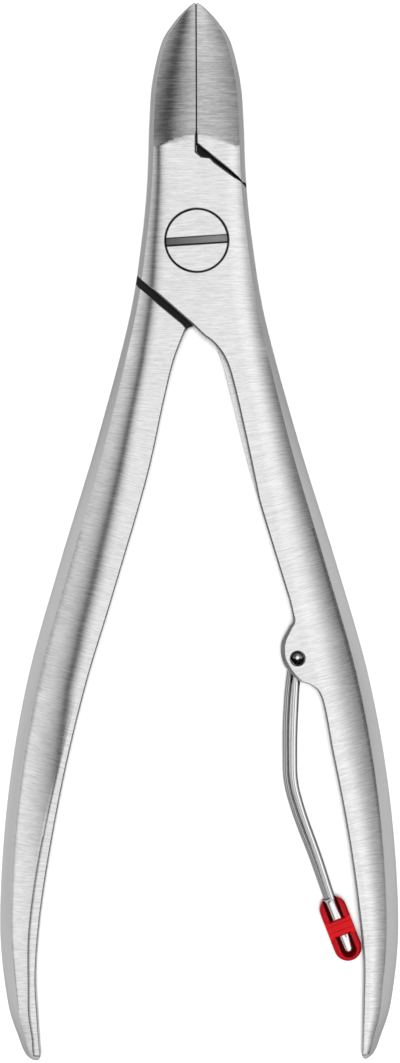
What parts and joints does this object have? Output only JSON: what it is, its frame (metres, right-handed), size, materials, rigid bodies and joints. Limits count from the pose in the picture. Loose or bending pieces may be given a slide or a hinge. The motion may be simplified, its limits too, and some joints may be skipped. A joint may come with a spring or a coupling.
{
  "type": "cuticle nipper",
  "caption": "Hand nipper with short curved cutting jaws, a slotted-screw lap joint, bowed handles and a swing-out hairpin wire spring tipped with a plastic glide.",
  "frame": {"origin": "on the pivot axis, level with the back of the joint, which is the face that the nipper rests on", "axes": "+Y from the pivot to the jaw tips, +Z out of the front face with the screw head, +X to the right as seen from the front"},
  "size_m": [0.0376, 0.1, 0.006],
  "materials": {
    "lever_steel": "satin, brushed across the length on the faces, finer on the edges",
    "screw_steel": "satin face, brighter rim",
    "polished_wire": "polished spring wire",
    "red_plastic": "glossy dipped plastic"
  },
  "bodies": {
    "front_half": {"front_lever": "lever_steel", "spring_pin": "polished_wire"},
    "rear_half": {"rear_lever": "lever_steel", "pivot_screw": "screw_steel"},
    "spring_arm": {"wire_spring": "polished_wire", "spring_glide": "red_plastic"}
  },
  "joints": [
    {"name": "handle_pivot", "type": "hinge", "parent": "front_half", "child": "rear_half", "pos_m": [0, 0, 0.003], "axis": [0, 0, -1], "range_deg": [0, 30]},
    {"name": "spring_swing", "type": "hinge", "parent": "front_half", "child": "spring_arm", "pos_m": [0.00936, -0.0394, 0.003], "axis": [0, 0, -1], "range_deg": [0, 60]}
  ]
}
